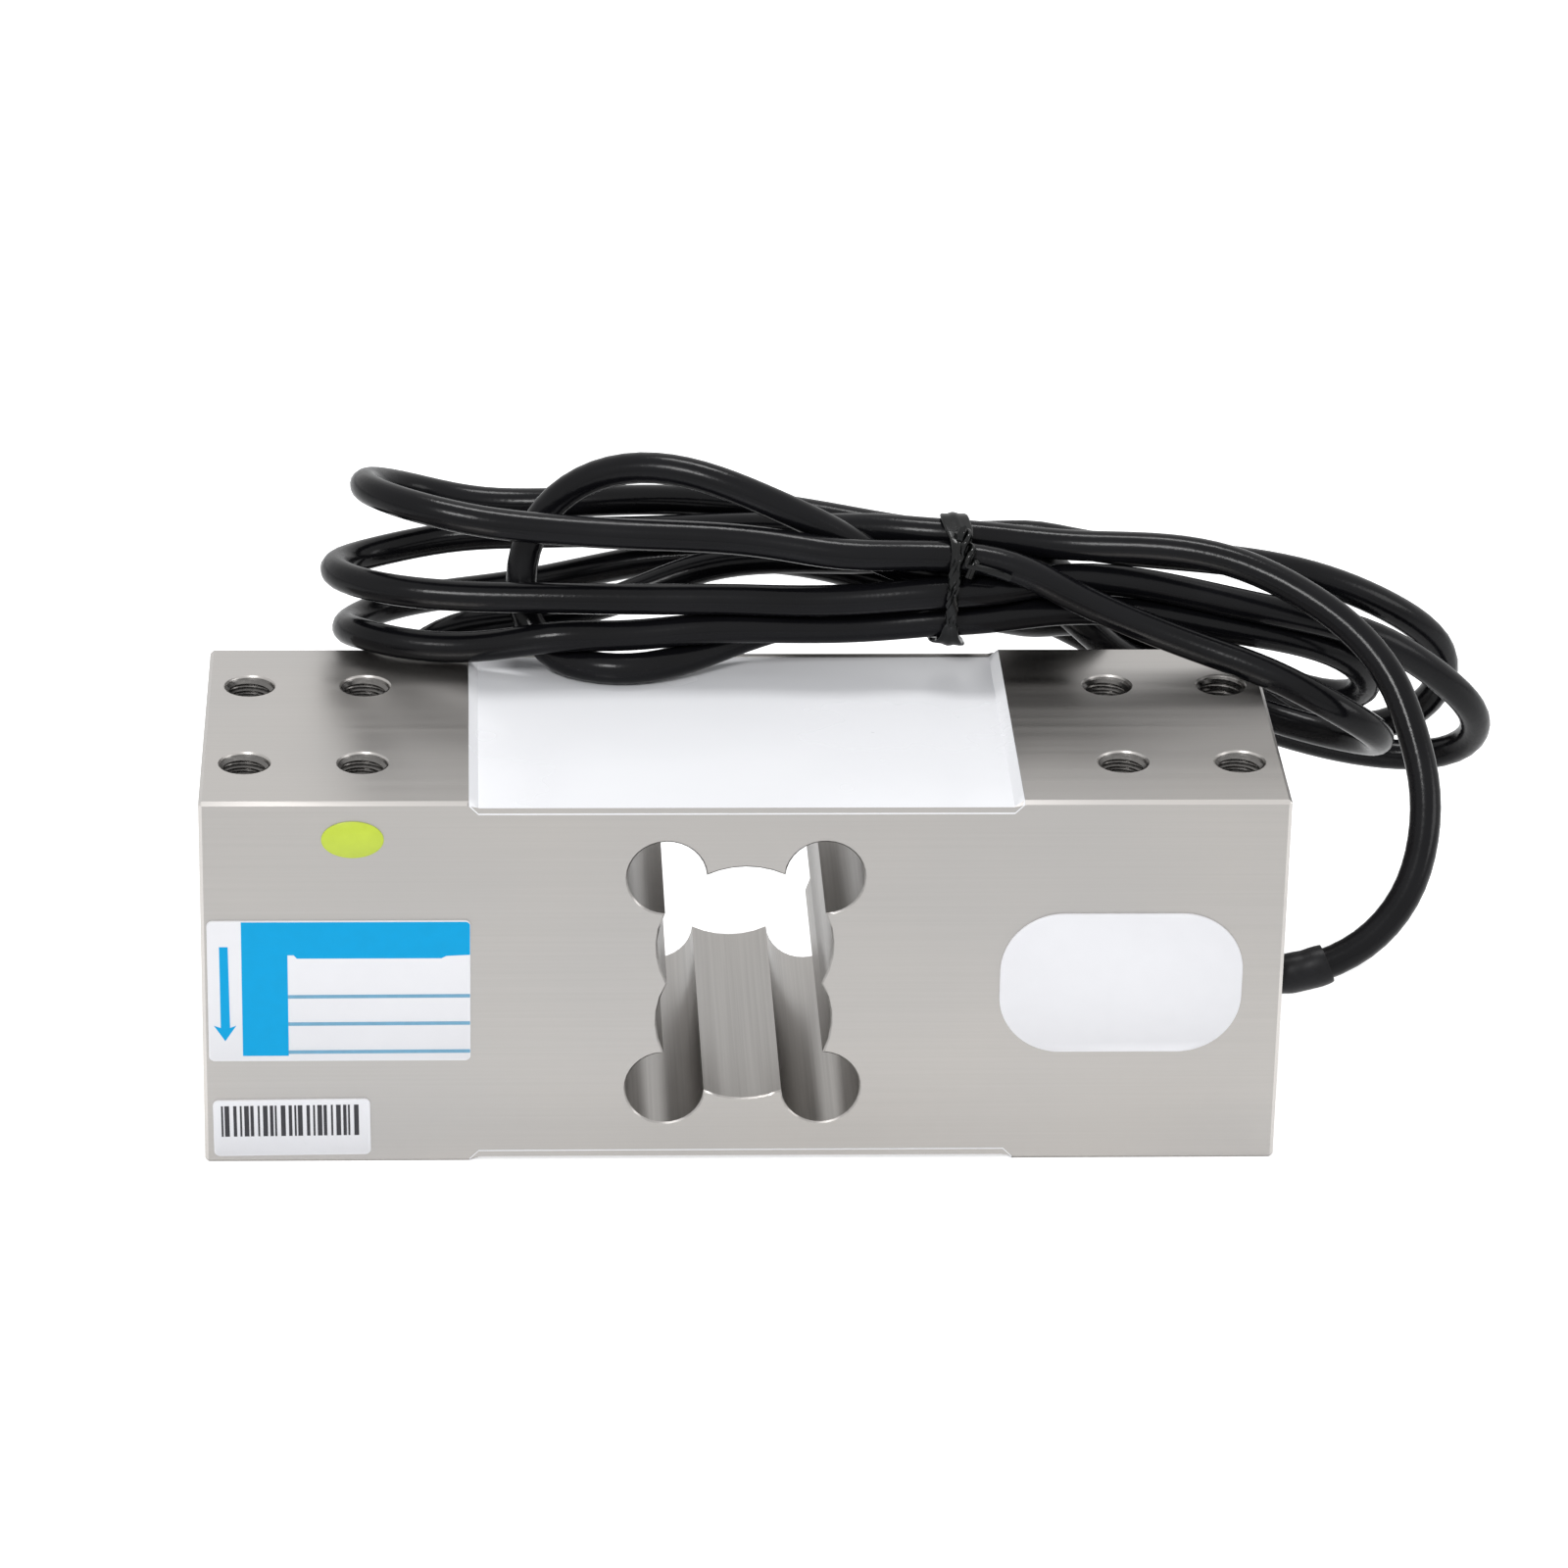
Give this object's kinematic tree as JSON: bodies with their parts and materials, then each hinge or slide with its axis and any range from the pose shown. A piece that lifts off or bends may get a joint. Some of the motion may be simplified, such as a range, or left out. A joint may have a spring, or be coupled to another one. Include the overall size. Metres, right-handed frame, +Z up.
{
  "type": "single point load cell",
  "caption": "Rectangular aluminium weighing sensor block with a lobed cut-out through its middle, tapped end pads, a wiring pocket and a black cable tied in a hank on its top.",
  "frame": {"origin": "centre of the body's base, measured without the cable", "axes": "X along the body, +X to the cable end; Y across it, -Y to the labelled face with the wiring pocket; Z up"},
  "size_m": [0.2183, 0.0875, 0.1],
  "materials": {
    "milled_aluminium": "milled, fine straight lines",
    "gauge_foil": "satin film with foil grid",
    "terminal_copper": "bare copper",
    "white_sealant": "matt silicone",
    "white_cover_sheet": "satin film",
    "white_label": "satin film",
    "rating_label_print": "satin film with printed colour fields",
    "lime_sticker": "satin film",
    "enamelled_wire": "enamel",
    "green_board": "solder mask",
    "resistor_ceramic": "plain",
    "cable_jacket": "glossy vinyl",
    "plated_steel": "plated",
    "core_red": "core insulation",
    "core_black": "core insulation",
    "core_green": "core insulation",
    "core_white": "core insulation",
    "heat_shrink_sleeve": "satin shrink tube",
    "tie_plastic": "glossy coated wire"
  },
  "bodies": {
    "root": {"spring_body": "milled_aluminium", "strain_gauge_top_left": "gauge_foil", "strain_gauge_top_right": "gauge_foil", "strain_gauge_base_left": "gauge_foil", "strain_gauge_base_right": "gauge_foil", "solder_terminals_top": "terminal_copper", "solder_terminals_base": "terminal_copper", "gauge_sealant_top": "white_sealant", "gauge_sealant_base": "white_sealant", "gauge_cover_top": "white_cover_sheet", "gauge_cover_base": "white_cover_sheet", "gauge_wires_top": "enamelled_wire", "gauge_wires_base": "enamelled_wire", "compensation_board": "green_board", "trim_resistor_1": "resistor_ceramic", "trim_resistor_2": "resistor_ceramic", "trim_resistor_3": "resistor_ceramic", "pocket_potting": "white_sealant", "pocket_label": "white_label", "rating_label": "rating_label_print", "barcode_label": "white_label", "oval_sticker": "lime_sticker", "cable_jacket_end": "cable_jacket", "cable_ferrule": "plated_steel", "core_red": "core_red", "core_black": "core_black", "core_green": "core_green", "core_white": "core_white", "cable_sleeve": "heat_shrink_sleeve", "cable_lead": "cable_jacket", "cable_hank": "cable_jacket", "cable_tie": "tie_plastic"}
  },
  "joints": []
}
